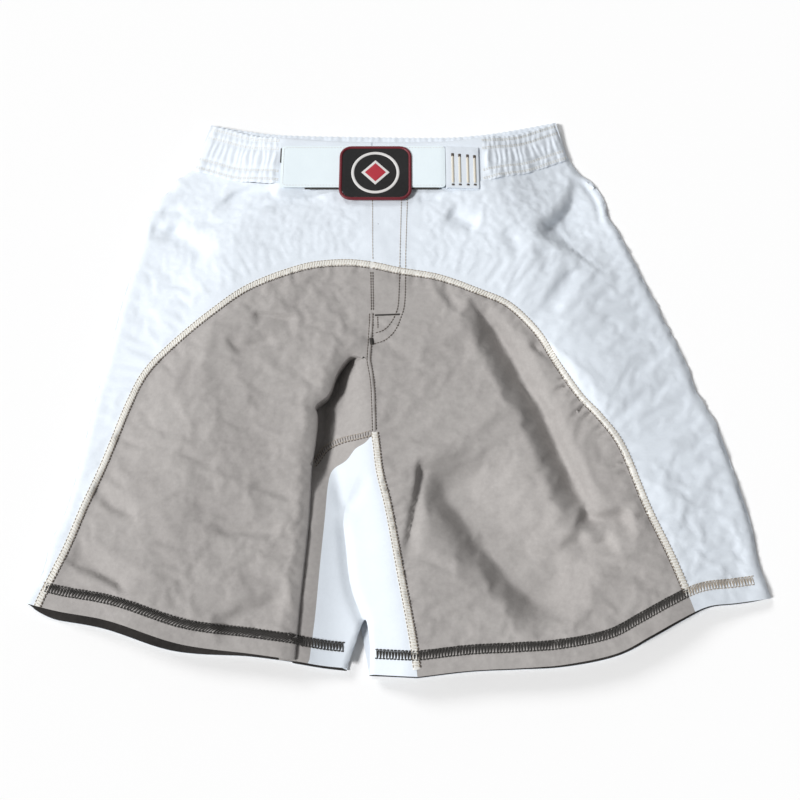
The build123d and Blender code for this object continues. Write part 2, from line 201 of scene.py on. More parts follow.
# Folds: route, height (a valley's is below zero), width to the left and to the right of its course,
# then for a creased fold True and how much of that height stays on the left.
LONG_FOLD = [(66, 77), (82, 55), (97, 24), (114, -11), (127, -37), (146, -85), (165, -132), (176, -158)]
HIP_FOLD = [(189, 220), (186, 197), (180, 186), (172, 172), (160, 158), (148, 148), (140, 136)]
FOLDS = [
    (LONG_FOLD, -21.0, 11, 20, True, -5.0),
    ([(158, -134), (178, -141), (206, -135)], -9.0, 6, 16),
    ([(26, -82), (42, -108), (64, -141), (88, -172), (116, -201), (152, -232)], -20.0, 46, 20),
    ([(23, -80), (18, -112), (13, -140), (8, -163), (2, -174)], -5.0, 6, 3),
    ([(-4, -174), (17, -175), (35, -181), (52, -190)], -1.6, 5, 3),
    ([(124, 26), (137, 20), (150, 22)], -4.5, 6, 4),
    ([(60, 60), (48, 76), (42, 88)], -2.0, 4, 7),
    ([(20, 20), (36, 22), (52, 14), (70, 18)], -1.6, 3, 6),
    ([(-142, 58), (-120, 56), (-95, 51)], -3.6, 3, 7),
    ([(-165, 33), (-148, 23), (-131, 27), (-112, 30)], -3.4, 5, 4),
    ([(-276, -108), (-254, -128), (-230, -138)], -4.5, 8, 4),
    ([(-296, -166), (-278, -180), (-258, -188), (-228, -204)], -7.0, 12, 4),
    ([(-167, -150), (-134, -152), (-100, -151)], -2.4, 6, 3),
    ([(-134, -110), (-114, -115), (-90, -125)], -2.2, 6, 3),
    ([(-203, -77), (-184, -85), (-163, -91)], -1.2, 6, 3),
    ([(-160, -236), (-125, -222), (-92, -208)], -5.0, 8, 14),
    ([(-185, 166), (-160, 190), (-130, 194), (-120, 183), (-65, 190)], -5.0, 5, 12),
    ([(-203, 153), (-175, 158), (-148, 170), (-124, 181)], -3.4, 8, 5),
    ([(-246, 153), (-228, 147), (-210, 150)], -3.0, 6, 8),
    ([(-232, 152), (-209, 138), (-182, 116)], -5.0, 10, 12),
    ([(-238, 170), (-222, 172), (-208, 166)], -2.0, 4, 5),
    ([(105, 149), (114, 133), (124, 122)], -2.4, 9, 9),
    ([(142, 130), (144, 114), (148, 104)], -2.4, 9, 9),
    ([(174, 110), (163, 94), (155, 78), (144, 55)], -3.0, 9, 11),
    ([(48, 166), (62, 158), (80, 150)], -4.0, 8, 9),
    ([(18, 180), (30, 179), (42, 182)], -1.6, 4, 5),
    (HIP_FOLD, -12.0, 34, 15, True, -2.0),
    ([(160, 152), (177, 161), (189, 163), (201, 156)], -2.5, 4, 8),
    ([(150, -152), (168, -165), (190, -156)], -5.0, 5, 12),
]


def full_height(points):
    """Plateau of the front, lower towards the hems."""
    return 21.0 + 8.5 * smooth(points[:, 1], -270, 70)


def fold_relief(points, route, depth, left, right, creased=False, step=0.0):
    """A valley (or ridge) along a route; a creased one is sharp at its foot and may end a step lower."""
    dist, side, share = nearest(points, curve(route))
    width = np.where(side > 0, left, right)
    ends = smooth(share, 0.0, 0.22) * smooth(1 - share, 0.0, 0.22)
    beyond = np.where((share <= 0) | (share >= 1), 0.0, 1.0)
    width = width * (1 + 0.09 * ripple(points, 17, 51))
    shape = np.exp(-((dist / width) ** 2))
    if creased:
        foot = np.sqrt(dist**2 + 3.0) - 1.7
        slope = depth * np.clip(1 - foot / (1.1 * width), 0, 1) ** 1.7
        stepped = (depth - step) * shape + step * np.exp(-((dist / 60) ** 2))
        return np.where(side > 0, stepped, slope) * ends * beyond
    return depth * shape * ends * beyond


def pucker_sets():
    """Puckers of the seams: line, side, spacing, length, depth, and the box of plan that they show in."""
    return [
        (arch, -1, 8.2, 20.0, 4.5, (142, -150, 240, 20)),
        (arch, -1, 11.0, 14.0, 1.3, (-120, 20, 150, 130)),
        (arch, -1, 17.0, 34.0, 2.2, (-300, -175, -180, 40)),
        (arch, 1, 6.5, 9.0, 0.7, (-330, -230, 330, 140)),
        (gusset_seam, 1, 8.5, 22.0, 3.0, (-25, -245, 40, -95)),
        (gusset_seam, -1, 7.0, 8.0, 0.6, (-60, -280, 40, -60)),
    ]


def puckers(points, line, side, spacing, length, depth, box):
    """Short valleys that run away from a gathered seam, uneven in depth and length."""
    dist, which, share = nearest(points, line)
    total = np.linalg.norm(np.diff(line, axis=0), axis=1).sum()
    s = share * total
    along = np.column_stack([s, np.zeros(len(s))])
    phase = s / spacing + 0.35 * ripple(along, 23, 11) + 0.006 * dist
    valley = (0.5 - 0.5 * np.cos(2 * math.pi * phase)) ** 2.5
    uneven = np.clip(0.75 + 0.7 * ripple(along, 15, 12), 0.1, 1.5)
    fade = (1 - smooth(dist, 0.15 * length, length * np.clip(uneven, 0.5, 1.3))) * smooth(dist, -1, 3)
    x0, y0, x1, y1 = box
    x, y = points[:, 0], points[:, 1]
    window = smooth(x, x0, x0 + 12) * smooth(x1 - x, 0, 12) * smooth(y, y0, y0 + 15) * smooth(y1 - y, 0, 15)
    return -depth * valley * uneven * fade * window * (which == side)


def upper_height(points):
    """Front cloth without the inner legs."""
    out = np.minimum(nearest(points, left_side)[0], nearest(points, right_side)[0])
    rim = np.sqrt(1 - (1 - np.clip(out / RIM_RUN, 0, 1)) ** 2)
    z = 1.0 + RIM * rim + (full_height(points) - RIM - 1) * smooth(out, -8, RISE_RUN)
    edge, side, share = nearest(points, fold_edge)
    near_fold = ((side < 0) | (edge < 0.5)) * smooth(share, 0.0, 0.12)
    curl = np.clip(1 - edge / 14, 0, 1) ** 2
    z += near_fold * FOLD_LIFT * np.exp(-((edge / 30) ** 2)) * smooth(points[:, 1], -130, -50)
    for fold in FOLDS:
        z += fold_relief(points, *fold) * smooth(out, 0, 12)
    for pucker in pucker_sets():
        z += puckers(points, *pucker)
    hem = np.minimum(nearest(points, hem_right_leg)[0], nearest(points, hem_left_leg)[0])
    z += 0.7 * (1 - smooth(hem, 14, 18)) + 0.5 * ripple(points, 24, 31) * (1 - smooth(hem, 0, 22))
    yoke = 1 - smooth(nearest(points, arch)[0] * np.where(inside(points, arch_area), 1.0, -1.0), -8, 0)
    z += yoke * smooth(points[:, 0], 20, 80) * (0.5 * ripple(points, 9, 32) + 0.25 * ripple(points, 4.5, 33))
    z += yoke * (1 - smooth(points[:, 0], -40, 20)) * 0.35 * ripple(points, 20, 34)
    z -= near_fold * FOLD_ROLL * curl * z
    inner = smooth(out, 2, 14)
    z = np.where(inner > 0, z + inner * (np.logaddexp(0, (4.5 - z) / 1.5) * 1.5), z)
    return np.maximum(z, 1.0)


def inner_height(points):
    """Cloth of the inner legs and of the patch behind the crotch fold."""
    high = np.minimum(nearest(points, gusset_seam)[0], nearest(points, crotch_line)[0])
    top = upper_height(points)
    gap = nearest(points, leg_gap)[0]
    z = INNER_LOW + (top - INNER_LOW) * np.exp(-((high / 32) ** 2))
    behind, _, share = nearest(points, fold_edge)
    under = np.exp(-((behind / CAVITY_WIDTH) ** 2)) * smooth(points[:, 1], -105, -60)
    z -= CAVITY * under * smooth(share, 0, 0.1)
    beside = np.exp(-((behind / 26) ** 2)) * smooth(points[:, 1], -92, -120)
    z += (top * (1 - FOLD_ROLL) - 3.2 - z) * beside
    crease, _, share = nearest(points, leg_line)
    z -= 3.0 * np.exp(-((crease / 5) ** 2)) * smooth(share, 0.35, 0.6)
    z += fold_relief(points, [(-56, -90), (-54, -110), (-48, -136)], -1.6, 5, 5)
    z += fold_relief(points, [(-28, -98), (-36, -118), (-48, -136)], -1.6, 5, 5)
    return np.maximum(z * smooth(gap, -6, 3), 2.2)


VIEW_DOWN = Vector((0, math.sin(VIEW_TILT), -math.cos(VIEW_TILT)))
EYE = (VIEW_TARGET - VIEW_DOWN * VIEW_RANGE) / MM


def follows_sight(y, z):
    """1 where the outlines are as seen from the camera, 0 at the waist's front, where they are true."""
    return np.maximum(smooth(y, 150, 90), smooth(z, 24, 10))


def slid(points, z):
    """Where a point seen on the SEEN_HEIGHT plane lies at height z."""
    share = follows_sight(points[..., 1], z) * (z - SEEN_HEIGHT) / (EYE.z - SEEN_HEIGHT)
    x = points[..., 0] + (EYE.x - points[..., 0]) * share
    y = points[..., 1] + (EYE.y - points[..., 1]) * share
    return np.stack([x, y, z], -1)


# ---- plan mesh ----
def plan_mesh(border, seams, step, seed):
    """Triangles over the area inside border, with edges along border and seams."""
    rng = np.random.default_rng(seed)
    low, high = border.min(0), border.max(0)
    rows = np.arange(low[1], high[1], step * math.sqrt(3) / 2)
    grid = [
        (x + (step / 2 if i % 2 else 0), y)
        for i, y in enumerate(rows)
        for x in np.arange(low[0], high[0], step)
    ]
    grid = np.array(grid)
    grid += rng.uniform(-0.16, 0.16, grid.shape) * step
    grid = grid[inside(grid, border)]
    ring = np.vstack([border, border[:1]])
    lines = [ring] + seams
    for line in lines:
        grid = grid[nearest(grid, line)[0] > 0.5 * step]
    points, edges = [], []
    for line in lines:
        first = len(points)
        points += [tuple(p) for p in line]
        edges += [(first + i, first + i + 1) for i in range(len(line) - 1)]
    points += [tuple(p) for p in grid]
    verts, _, faces, *_ = delaunay_2d_cdt([Vector(p) for p in points], edges, [], 0, 1e-4)
    verts = np.array([tuple(v) for v in verts])
    faces = np.array([f for f in faces if len(f) == 3])
    faces = faces[inside(verts[faces].mean(1), border)]
    return verts, faces


def mesh_object(name, verts_mm, faces, material=None):
    """A mesh from points in millimetres."""
    mesh = bpy.data.meshes.new(name)
    mesh.from_pydata((np.asarray(verts_mm) * MM).tolist(), [], [list(map(int, f)) for f in faces])
    mesh.update()
    obj = bpy.data.objects.new(name, mesh)
    bpy.context.scene.collection.objects.link(obj)
    for face in mesh.polygons:
        face.use_smooth = True
    if material is not None:
        mesh.materials.append(material)
    return obj


HARD_EDGE = math.radians(75)


def apply_modifiers(obj):
    """The modifiers' result, with hard edges where the cloth is cut."""
    graph = bpy.context.evaluated_depsgraph_get()
    mesh = bpy.data.meshes.new_from_object(obj.evaluated_get(graph))
    mesh.set_sharp_from_angle(angle=HARD_EDGE)
    obj.modifiers.clear()
    obj.data = mesh


def part_of(name, verts, faces, chosen, material):
    """One cloth panel: the chosen triangles, given their thickness below the surface."""
    used, renumbered = np.unique(faces[chosen], return_inverse=True)
    obj = mesh_object(name, verts[used], renumbered.reshape(-1, 3), material)
    solid = obj.modifiers.new("thickness", "SOLIDIFY")
    solid.thickness = THICK * MM
    solid.offset = -1
    apply_modifiers(obj)
    return obj


# ---- cloth simulation ----
SIM_FRAMES = 18
SIM_GROWTH = -0.012  # the cloth is this much larger than the space that it is held in
SEAM_SHRINK = 0.03
SIM_HOLD = 0.12
SIM_REACH = 2.2  # mm that a point may move


def crumpled(verts, faces, border_lines, seam_lines, seed):
    """Cloth laid over the given heights, a little too large for them, with shrunken seams."""
    start = verts.copy()
    creases = np.column_stack([verts[:, 0] * 0.45, verts[:, 1]])
    start[:, 2] += 0.7 * ripple(creases, 12, seed) + 0.2 * ripple(verts, 6, seed + 1)
    obj = mesh_object("cloth_sim", start, faces)
    hold = np.full(len(verts), SIM_HOLD)
    for line in border_lines:
        hold = np.maximum(hold, 1 - smooth(nearest(verts[:, :2], line)[0], 1, 9))
    for line in (hem_right_leg, hem_left_leg):
        hold = np.maximum(hold, 0.9 * (1 - smooth(nearest(verts[:, :2], line)[0], 12, 26)))
    hold = np.maximum(hold, 0.7 * smooth(verts[:, 1], 85, 130))
    fly = smooth(verts[:, 1], 40, 60) * (1 - smooth(np.abs(verts[:, 0] + 8), 26, 42))
    hold = np.maximum(hold, fly)
    shrink = np.zeros(len(verts))
    for line in seam_lines:
        shrink = np.maximum(shrink, 1 - smooth(nearest(verts[:, :2], line)[0], 3, 9))
    for name, weights in (("hold", hold), ("shrink", shrink)):
        group = obj.vertex_groups.new(name=name)
        for i, weight in enumerate(weights):
            group.add([i], float(weight), "REPLACE")
    cloth = obj.modifiers.new("cloth", "CLOTH")
    rules = cloth.settings
    rules.quality = 6
    rules.mass = 0.15
    rules.tension_stiffness = rules.compression_stiffness = 18
    rules.shear_stiffness = 8
    rules.bending_stiffness = 0.35
    rules.tension_damping = rules.compression_damping = rules.shear_damping = 12
    rules.air_damping = 4
    rules.vertex_group_mass = "hold"
    rules.pin_stiffness = 1.0
    rules.vertex_group_shrink = "shrink"
    rules.shrink_min, rules.shrink_max = SIM_GROWTH, SEAM_SHRINK
    rules.effector_weights.gravity = 0
    cloth.point_cache.frame_start, cloth.point_cache.frame_end = 1, SIM_FRAMES
    for step in range(1, SIM_FRAMES + 1):
        bpy.context.scene.frame_set(step)
    graph = bpy.context.evaluated_depsgraph_get()
    mesh = bpy.data.meshes.new_from_object(obj.evaluated_get(graph))
    out = np.empty(len(verts) * 3)
    mesh.vertices.foreach_get("co", out)
    bpy.data.objects.remove(obj)
    bpy.data.meshes.remove(mesh)
    bpy.context.scene.frame_set(1)
    move = out.reshape(-1, 3) / MM - verts
    length = np.linalg.norm(move, axis=1, keepdims=True)
    return verts + move * np.minimum(1, SIM_REACH / np.maximum(length, 1e-9))


# ---- materials ----
def shader(name):
    """A new material, its node tree and its surface."""
    material = bpy.data.materials.new(name)
    material.use_nodes = True
    tree = material.node_tree
    return material, tree, tree.nodes["Principled BSDF"]


def node(tree, kind, **values):
    """A node with its properties, and its inputs by name, set."""
    made = tree.nodes.new(kind)
    for key, value in values.items():
        if hasattr(made, key):
            setattr(made, key, value)
        else:
            made.inputs[key.replace("_", " ").title()].default_value = value
    return made


def coloured(tree, surface, factor, dark, light, low=0.0, high=1.0):
    """Colour that goes from dark to light while the factor goes from low to high."""
    ramp = tree.nodes.new("ShaderNodeValToRGB")
    first, last = ramp.color_ramp.elements
    first.position, first.color = low, (*dark, 1)
    last.position, last.color = high, (*light, 1)
    tree.links.new(factor, ramp.inputs["Fac"])
    tree.links.new(ramp.outputs["Color"], surface.inputs["Base Color"])


def bumped(tree, surface, height, strength, depth):
    """Relief up to depth millimetres deep."""
    bump = node(tree, "ShaderNodeBump", strength=strength, distance=depth * MM)
    tree.links.new(height, bump.inputs["Height"])
    tree.links.new(bump.outputs["Normal"], surface.inputs["Normal"])


def cloth_material(name, light, dark, rough=0.85, weave=0.55, mottle=0.35, sheen=0.15):
    """Woven cloth: a fine plain weave, mottled colour and a soft sheen."""
    material, tree, surface = shader(name)
    link = tree.links.new
    where = tree.nodes.new("ShaderNodeTexCoord").outputs["Object"]
    blotch = node(tree, "ShaderNodeTexNoise", scale=260.0, detail=5.0, roughness=0.7)
    wide = node(tree, "ShaderNodeTexNoise", scale=22.0, detail=3.0, roughness=0.55)
    link(where, blotch.inputs["Vector"])
    link(where, wide.inputs["Vector"])
    both = node(tree, "ShaderNodeMix", data_type="FLOAT")
    both.inputs[0].default_value = mottle
    link(wide.outputs["Fac"], both.inputs[2])
    link(blotch.outputs["Fac"], both.inputs[3])
    coloured(tree, surface, both.outputs[0], dark, light, 0.32, 0.68)
    threads = []
    for axis in ("X", "Y"):
        wave = node(tree, "ShaderNodeTexWave", bands_direction=axis, scale=2.0 / (weave * MM) / 6.283)
        wave.inputs["Distortion"].default_value = 0.6
        link(where, wave.inputs["Vector"])
        threads.append(wave.outputs["Fac"])
    cross = node(tree, "ShaderNodeMath", operation="MULTIPLY")
    link(threads[0], cross.inputs[0])
    link(threads[1], cross.inputs[1])
    fuzz = node(tree, "ShaderNodeMath", operation="ADD")
    link(cross.outputs[0], fuzz.inputs[0])
    link(blotch.outputs["Fac"], fuzz.inputs[1])
    bumped(tree, surface, fuzz.outputs[0], 0.35, 0.25)
    surface.inputs["Roughness"].default_value = rough
    surface.inputs["Sheen Weight"].default_value = sheen
    surface.inputs["Sheen Roughness"].default_value = 0.5
    surface.inputs["Specular IOR Level"].default_value = 0.25
    return material


def thread_material(name, light, dark, rough=0.6):
    """Twisted thread: fine slanted bands of light and shade."""
    material, tree, surface = shader(name)
    link = tree.links.new
    where = tree.nodes.new("ShaderNodeTexCoord").outputs["Object"]
    twist = node(tree, "ShaderNodeTexWave", bands_direction="DIAGONAL", scale=420.0)
    twist.inputs["Distortion"].default_value = 2.0
    link(where, twist.inputs["Vector"])
    coloured(tree, surface, twist.outputs["Fac"], dark, light)
    bumped(tree, surface, twist.outputs["Fac"], 0.4, 0.1)
    surface.inputs["Roughness"].default_value = rough
    surface.inputs["Sheen Weight"].default_value = 0.1
    return material


white_cloth = cloth_material("white cloth", (0.80, 0.86, 0.93), (0.745, 0.80, 0.865), mottle=0.35)
grey_cloth = cloth_material("grey cloth", (0.44, 0.42, 0.405), (0.345, 0.325, 0.315), mottle=0.55)
cream_thread = thread_material("cream thread", (0.80, 0.77, 0.68), (0.58, 0.53, 0.44))
dark_thread = thread_material("dark thread", (0.05, 0.045, 0.04), (0.012, 0.011, 0.010))
# Near-black for the inside of the back hem: black hem thread, with painted shade of the leg openings' inside.
hem_thread_and_shade = cloth_material("dark inside", (0.05, 0.045, 0.042), (0.02, 0.018, 0.017), mottle=0.5)

# ---- lines, grids and threads ----
def tree_of(*objects):
    """What a seam is laid on."""
    verts, faces = [], []
    for obj in objects:
        first = len(verts)
        verts += [v.co / MM for v in obj.data.vertices]
        faces += [[first + i for i in f.vertices] for f in obj.data.polygons]
    return BVHTree.FromPolygons(verts, faces)


SIGHT_TOP = 120.0  # mm; sight lines are followed down from this height


def laid(tree, points):
    """Places and normals on the cloth of points on the SEEN_HEIGHT plane."""
    places, normals = [], []
    last = (Vector((0, 0, SEEN_HEIGHT)), Vector((0, 0, 1)))
    for x, y in points:
        plan = Vector((x, y, SEEN_HEIGHT))
        for _ in range(2):
            share = float(follows_sight(y, last[0].z)) * (SIGHT_TOP - SEEN_HEIGHT) / (EYE.z - SEEN_HEIGHT)
            start = plan + Vector((EYE.x - x, EYE.y - y, 0)) * share
            start.z = SIGHT_TOP
            place, normal, *_ = tree.ray_cast(start, (plan - start).normalized())
            if place is None:
                beyond = Vector((*slid(np.array([x, y]), last[0].z)[:2], last[0].z))
                place, normal, *_ = tree.find_nearest(beyond)
            if normal.z < 0:
                normal = -normal
            last = (place, normal)
        places.append(tuple(place))
        normals.append(tuple(normal))
    return np.array(places), np.array(normals)


def track(line, offset=0.0):
    """Arc length and points of a curve moved sideways, to its left if offset is positive."""
    step = np.gradient(line, axis=0)
    step /= np.linalg.norm(step, axis=1, keepdims=True)
    moved = line + offset * np.column_stack([-step[:, 1], step[:, 0]])
    return np.concatenate([[0], np.cumsum(np.linalg.norm(np.diff(moved, axis=0), axis=1))]), moved


def at(route, where):
    """The points of a track at given lengths along it."""
    return np.column_stack([np.interp(where, route[0], route[1][:, i]) for i in (0, 1)])


def dashes(line, offset, length, gap):
    """The ends of running stitches beside a line."""
    route = track(line, offset)
    starts = np.arange(0.4, route[0][-1] - length, length + gap)
    return list(zip(at(route, starts), at(route, starts + length)))


def rungs(line, half_width, step, slant):
    """Crossing threads of a cover seam."""
    low, high = track(line, -half_width), track(line, half_width)
    share = np.arange(step, low[0][-1] - slant - step, step) / low[0][-1]
    lean = slant / low[0][-1]
    return list(zip(at(low, share * low[0][-1]), at(high, (share + lean) * high[0][-1])))


def grid_object(name, rows, material, close=False):
    """A mesh over rows of points."""
    rows = np.array(rows)
    high, wide = rows.shape[:2]
    index = np.arange(high * wide).reshape(high, wide)
    if close:
        index = np.column_stack([index, index[:, :1]])
    faces = np.stack([index[:-1, :-1], index[:-1, 1:], index[1:, 1:], index[1:, :-1]], -1).reshape(-1, 4)
    return mesh_object(name, rows.reshape(-1, 3), faces, material)


def attach(obj, body):
    """Rides on a body; a piece on the fly's edge is baked where it stands and rides on none."""
    if body == "flap":
        hinged(obj)
    else:
        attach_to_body(obj, body)


RIBBON_GRAIN = 2.0


def ribbon(name, tree, line, width, crown, material, body, columns=7):
    """A raised strip along a line, its edges sunk in the cloth."""
    route = track(line)
    where = np.linspace(0, route[0][-1], max(3, int(route[0][-1] / RIBBON_GRAIN)))
    rows = []
    for offset in np.linspace(-width / 2, width / 2, columns):
        moved = track(line, offset)
        places, normals = laid(tree, at(moved, where / route[0][-1] * moved[0][-1]))
        height = crown * (1 - abs(2 * offset / width) ** 3) - 0.25 * (abs(2 * offset / width) > 0.99) + 0.1
        rows.append(places + normals * height)
    strip = grid_object(name, rows[::-1], material)
    attach(strip, body)
    return strip


SIDES = 5
SUNK = 0.4  # a thread's ends lie this share of its radius below the cloth
ROUND = np.linspace(0, 2 * math.pi, SIDES, endpoint=False)


def threads(name, tree, pairs, radius, material, body="shorts"):
    """Stitches from point to point on the cloth, each a short thread that dips in at its ends."""
    starts, start_normals = laid(tree, [a for a, _ in pairs])
    middles, _ = laid(tree, [(np.asarray(a) + b) / 2 for a, b in pairs])
    ends, end_normals = laid(tree, [b for _, b in pairs])
    profile = ((0, -SUNK, 0.6), (0.18, 0.5, 1), (0.5, 0.8, 1.1), (0.82, 0.5, 1), (1, -SUNK, 0.6))
    verts, faces = [], []
    for a, m, b, up_a, up_b in zip(starts, middles, ends, start_normals, end_normals):
        up = (up_a + up_b) / 2
        hump = np.clip(((m - (a + b) / 2) @ up), -0.5, 1.5)
        along = b - a
        side = np.cross(along, up)
        side /= np.linalg.norm(side) + 1e-9
        first = len(verts)
        for t, lift, size in profile:
            centre = a + along * t + up * (lift * radius + hump * (1 - abs(2 * t - 1)))
            ring = radius * size * (np.cos(ROUND)[:, None] * side + np.sin(ROUND)[:, None] * up)
            verts += list(centre + ring)
        for ring in range(4):
            for i in range(SIDES):
                j = (i + 1) % SIDES
                low = first + ring * SIDES
                faces.append([low + i, low + j, low + SIDES + j, low + SIDES + i])
        faces.append([first + i for i in reversed(range(SIDES))])
        faces.append([first + 4 * SIDES + i for i in range(SIDES)])
    made = mesh_object(name, verts, faces, material)
    attach(made, body)
    return made


# ---- front cloth ----
upper_border = np.vstack(
    [
        left_edge[::-1],
        band_seam[1:],
        right_edge[1:],
        hem_left_leg[::-1][1:],
        gusset_seam[::-1][1:],
        crotch_line[::-1][1:],
        fold_edge[1:],
        hem_right_leg[::-1][1:-1],
    ]
)
upper_plan, upper_faces = plan_mesh(upper_border, [arch, fly_line], GRAIN, SEED)
upper = slid(upper_plan, upper_height(upper_plan))
held = [left_edge, right_edge, hem_left_leg, hem_right_leg, band_seam]
held += [gusset_seam, crotch_line, fold_edge]
upper = crumpled(upper, upper_faces, held, [arch, gusset_seam], SEED)


def rolled(verts, plan, faces):
    """The cloth goes on round the crotch fold's edge, down, and back beneath itself."""
    line = fold_edge[ROLL_START:]
    out = np.gradient(line, axis=0)
    out = np.column_stack([-out[:, 1], out[:, 0]]) / np.linalg.norm(out, axis=1, keepdims=True)
    near = [int(np.argmin(np.hypot(*(plan - point).T))) for point in line]
    # How steeply the cloth already falls just inside its edge, between two places 1.8 mm apart.
    turn = np.arctan2(upper_height(line - 2.4 * out) - upper_height(line - 0.6 * out), 1.8)
    place = verts[near]
    room = place[:, 2] - ROLL_FOOT
    radius = np.minimum(room / (1 + np.cos(turn)), ROLL_RADIUS)
    wall = room - radius * (1 + np.cos(turn))
    down, back = ROLL_WALL - turn, math.pi - ROLL_WALL
    steps = [(turn + down * share, radius * down / 4) for share in (1 / 8, 3 / 8, 5 / 8, 7 / 8)]
    steps += [(ROLL_WALL + 0 * turn, wall / 2)] * 2
    steps += [(ROLL_WALL + back * share + 0 * turn, radius * back / 2) for share in (1 / 4, 3 / 4)]
    steps += [(math.pi + 0 * turn, ROLL_UNDER + 0 * turn)] * 3
    rows = []
    for angle, run in steps:
        place = place + np.column_stack([out * (run * np.cos(angle))[:, None], -run * np.sin(angle)])
        rows.append(place)
    first, count = len(verts), len(line)
    index = np.vstack([near, first + np.arange(count * len(rows)).reshape(-1, count)])
    a, b, c, d = index[:-1, :-1], index[:-1, 1:], index[1:, 1:], index[1:, :-1]
    new = np.concatenate([np.stack(corners, -1).reshape(-1, 3) for corners in ((a, b, c), (a, c, d))])
    plan = np.vstack([plan] + [line - out] * len(rows))
    return np.vstack([verts] + rows), plan, np.vstack([faces, new])


upper, upper_plan, upper_faces = rolled(upper, upper_plan, upper_faces)

under_fold = fold_edge[1:] + np.column_stack(
    [-UNDER_FOLD * smooth(np.arange(1, len(fold_edge)) / 6.0), np.zeros(len(fold_edge) - 1)]
)
inner_border = np.vstack(
    [
        crotch_line,
        gusset_seam[1:],
        curve(HEM_LEFT_GUSSET)[::-1][1:],
        leg_gap[::-1][1:],
        curve(HEM_GUSSET)[::-1][1:],
        under_fold[::-1][1:],
    ]
)
facing_edge = curve(FACING_EDGE)
inner_plan, inner_faces = plan_mesh(inner_border, [patch_seam, facing_edge[1:-1], leg_line], GRAIN, SEED + 1)
inner_z = inner_height(inner_plan)
inner = slid(inner_plan, inner_z)

upper_mid = upper_plan[upper_faces].mean(1)
in_arch = inside(upper_mid, arch_area)
wearer_right = upper_mid[:, 0] < np.interp(upper_mid[:, 1], centre_line[::-1, 1], centre_line[::-1, 0])
inner_mid = inner_plan[inner_faces].mean(1)
patch_area = np.vstack([facing_edge, [(-75, -290), (-130, -290), (-130, 40), (-20, 40)]])
in_patch = inside(inner_mid, patch_area)
right_of_gap = np.interp(inner_mid[:, 1], leg_line[::-1, 1], leg_line[::-1, 0]) > inner_mid[:, 0]

front_panel_right = part_of("front_right", upper, upper_faces, in_arch & wearer_right, grey_cloth)
front_panel_left = part_of("front_left", upper, upper_faces, in_arch & ~wearer_right, grey_cloth)
side_right = part_of("side_right", upper, upper_faces, ~in_arch & wearer_right, white_cloth)
side_left = part_of("side_left", upper, upper_faces, ~in_arch & ~wearer_right, white_cloth)
crotch_patch = part_of("crotch_patch", inner, inner_faces, in_patch, grey_cloth)
inner_right = part_of("inner_leg_right", inner, inner_faces, ~in_patch & right_of_gap, white_cloth)
inner_left = part_of("inner_leg_left", inner, inner_faces, ~in_patch & ~right_of_gap, white_cloth)


def hinged(obj):
    """Cloth on the fly's edge: its placement is baked into its mesh, and it rides on no body."""
    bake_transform(obj)


for piece in (front_panel_right, side_right, crotch_patch, inner_right, inner_left):
    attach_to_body(piece, "shorts")
hinged(front_panel_left)
hinged(side_left)
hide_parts("front_panel_right")
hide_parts("front_panel_left", "fly_flap_lower")
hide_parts("side_panel_right")
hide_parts("side_panel_left", "fly_flap_upper")
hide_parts("gusset_right")
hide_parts("gusset_left")

# ---- back cloth ----
BACK_LOW = 1.2  # top of the back layer
# The dark inside of the back hem is part black thread, part painted shade of the leg opening.
HEM_INSIDE = 11.0  # width of the dark inside of the back hem


def lowered(line, drop):
    """A hem moved towards the wearer's feet by drop at each point."""
    step = np.gradient(line, axis=0)
    step /= np.linalg.norm(step, axis=1, keepdims=True)
    return line + drop[:, None] * np.column_stack([step[:, 1], -step[:, 0]])


full_hem_right = np.vstack([hem_right_leg, curve(HEM_GUSSET)[4:]])
full_hem_left = np.vstack([curve(HEM_LEFT_GUSSET), hem_left_leg[1:]])
share_right = np.linspace(0, 1, len(full_hem_right))
share_left = np.linspace(0, 1, len(full_hem_left))
drop_right = 2.2 + 5.2 * smooth(share_right, 0.0, 0.12) * (1 - smooth(share_right, 0.40, 0.75))
drop_right *= smooth(share_right, 0.0, 0.05)
drop_left = 1.2 + 1.0 * smooth(share_left, 0.30, 0.55) * (1 - smooth(share_left, 0.72, 0.9))
drop_left *= smooth(1 - share_left, 0.0, 0.06)
back_hem_right, back_hem_left = lowered(full_hem_right, drop_right), lowered(full_hem_left, drop_left)
gap_back = curve(LEG_LINE[:-1] + [(-33, -228)])
back_centre = np.vstack([centre_line, gap_back[1:]])
back_seam = curve([(-208, 219), (-161, 210), (-117, 204), (0, 200), (90, 205), (130, 217), (171, 235)])
back_top_mid = np.argmin(np.abs(back_seam[:, 0] - FLY_TOP[0]))


def back_height(points):
    """Height of the back layer, wavy by the hems."""
    wave = np.exp(-((points[:, 1] + 240) / 40) ** 2)
    return BACK_LOW + 0.6 * wave * np.abs(ripple(points, 34, 41)) + 0.25 * np.abs(ripple(points, 60, 42))


